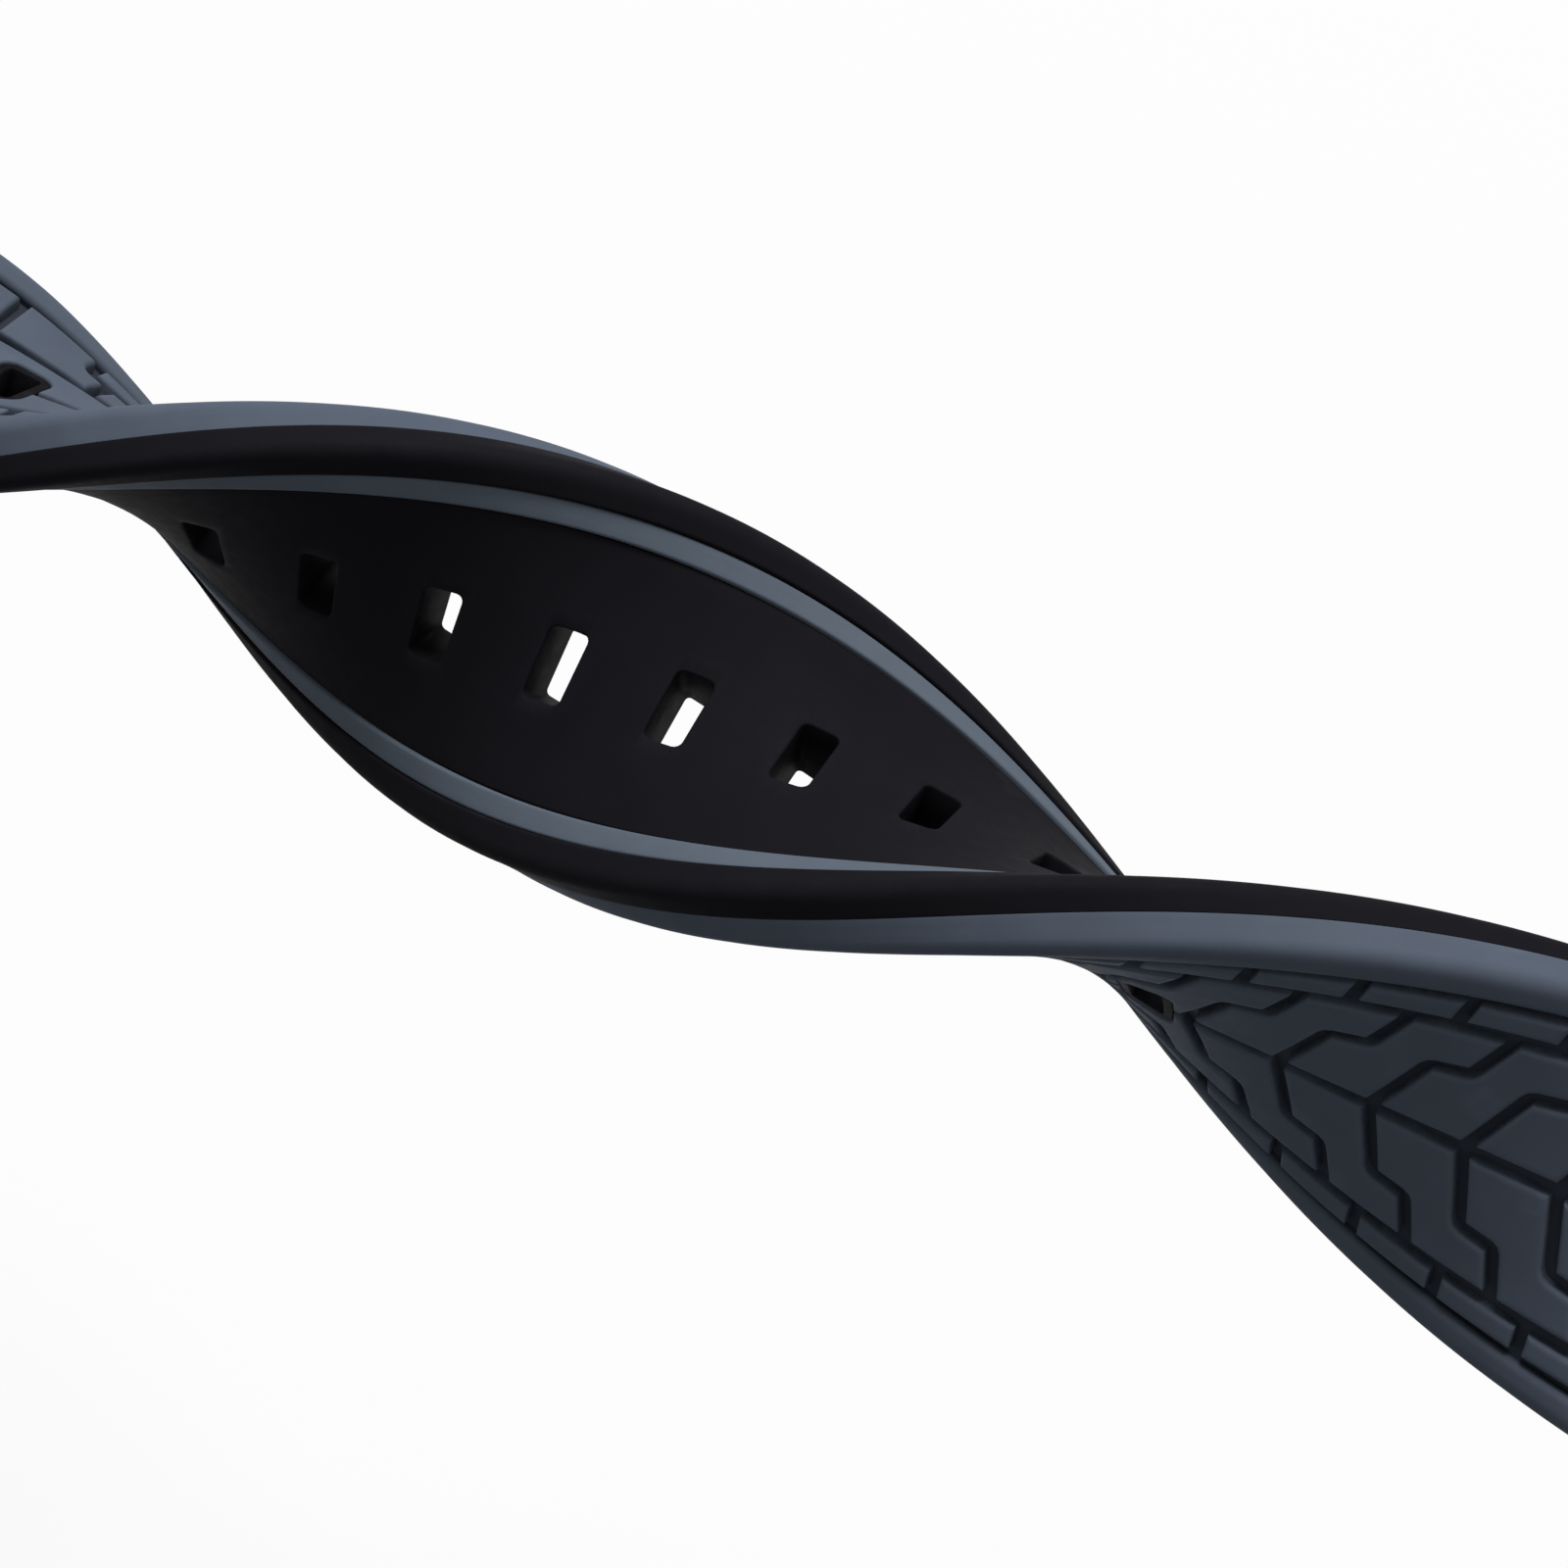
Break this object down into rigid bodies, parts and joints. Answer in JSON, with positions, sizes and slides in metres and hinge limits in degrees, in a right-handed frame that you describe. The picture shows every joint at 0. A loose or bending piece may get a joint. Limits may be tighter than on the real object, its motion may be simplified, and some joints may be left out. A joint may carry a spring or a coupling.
{
  "type": "silicone watch strap",
  "caption": "Two-colour silicone watch strap with a tyre tread face, striped black back, punched long half shown twisted, two keepers, pin buckle and quick-release bars.",
  "frame": {"origin": "middle of the long half's spring bar, where it sits between the watch lugs", "axes": "+X along the strap towards the watch, +Y across the strap, +Z out of the tread face of the flat ends"},
  "size_m": [0.2042, 0.0216, 0.0284],
  "materials": {
    "black_silicone": "matte",
    "grey_silicone": "matte",
    "buckle_steel": "brushed",
    "bar_steel": "satin"
  },
  "bodies": {
    "long_half": {"long_back_body": "black_silicone", "long_tread_layer": "grey_silicone", "long_stripe_left": "grey_silicone", "long_stripe_right": "grey_silicone", "long_bar_barrel": "bar_steel", "long_bar_spring": "bar_steel"},
    "long_tip": {"long_bar_tip": "bar_steel"},
    "long_release_tip": {"long_bar_release_tip": "bar_steel", "long_bar_release_knob": "bar_steel"},
    "short_half": {"short_back_body": "black_silicone", "short_tread_layer": "grey_silicone", "short_stripe_left": "grey_silicone", "short_stripe_right": "grey_silicone", "short_bar_barrel": "bar_steel", "short_bar_spring": "bar_steel", "fixed_keeper": "black_silicone", "buckle_bar_barrel": "bar_steel", "buckle_bar_spring": "bar_steel"},
    "short_tip": {"short_bar_tip": "bar_steel"},
    "short_release_tip": {"short_bar_release_tip": "bar_steel", "short_bar_release_knob": "bar_steel"},
    "free_keeper": {"free_keeper": "black_silicone"},
    "buckle_frame": {"buckle_frame": "buckle_steel"},
    "buckle_tongue": {"buckle_tongue": "buckle_steel"},
    "buckle_tip_left": {"buckle_bar_tip_left": "bar_steel"},
    "buckle_tip_right": {"buckle_bar_tip_right": "bar_steel"}
  },
  "joints": [
    {"name": "tail_slide", "type": "slide", "parent": "long_half", "child": "short_half", "axis": [-1, 0, 0], "range_m": [-0.001, 0.012]},
    {"name": "keeper_slide", "type": "slide", "parent": "short_half", "child": "free_keeper", "axis": [-1, 0, 0], "range_m": [-0.003, 0.016]},
    {"name": "buckle_swing", "type": "hinge", "parent": "short_half", "child": "buckle_frame", "pos_m": [-0.125, 0, -0.00415], "axis": [0, -1, 0], "range_deg": [-40, 50]},
    {"name": "tongue_swing", "type": "hinge", "parent": "buckle_frame", "child": "buckle_tongue", "pos_m": [-0.125, 0, -0.00415], "axis": [0, -1, 0], "range_deg": [0, 30]},
    {"name": "long_tip_press", "type": "slide", "parent": "long_half", "child": "long_tip", "axis": [0, 1, 0], "range_m": [0, 0.001], "stiffness_N_per_m": 150, "springref_m": -0.003, "deforming": ["long_bar_spring"]},
    {"name": "long_release_press", "type": "slide", "parent": "long_half", "child": "long_release_tip", "axis": [0, -1, 0], "range_m": [0, 0.001], "stiffness_N_per_m": 150, "springref_m": -0.003, "deforming": ["long_bar_spring"]},
    {"name": "short_tip_press", "type": "slide", "parent": "short_half", "child": "short_tip", "axis": [0, -1, 0], "range_m": [0, 0.001], "stiffness_N_per_m": 150, "springref_m": -0.003, "deforming": ["short_bar_spring"]},
    {"name": "short_release_press", "type": "slide", "parent": "short_half", "child": "short_release_tip", "axis": [0, 1, 0], "range_m": [0, 0.001], "stiffness_N_per_m": 150, "springref_m": -0.003, "deforming": ["short_bar_spring"]},
    {"name": "buckle_left_press", "type": "slide", "parent": "short_half", "child": "buckle_tip_left", "axis": [0, 1, 0], "range_m": [0, 0.001], "stiffness_N_per_m": 150, "springref_m": -0.003, "deforming": ["buckle_bar_spring"]},
    {"name": "buckle_right_press", "type": "slide", "parent": "short_half", "child": "buckle_tip_right", "axis": [0, -1, 0], "range_m": [0, 0.001], "stiffness_N_per_m": 150, "springref_m": -0.003, "deforming": ["buckle_bar_spring"]}
  ]
}
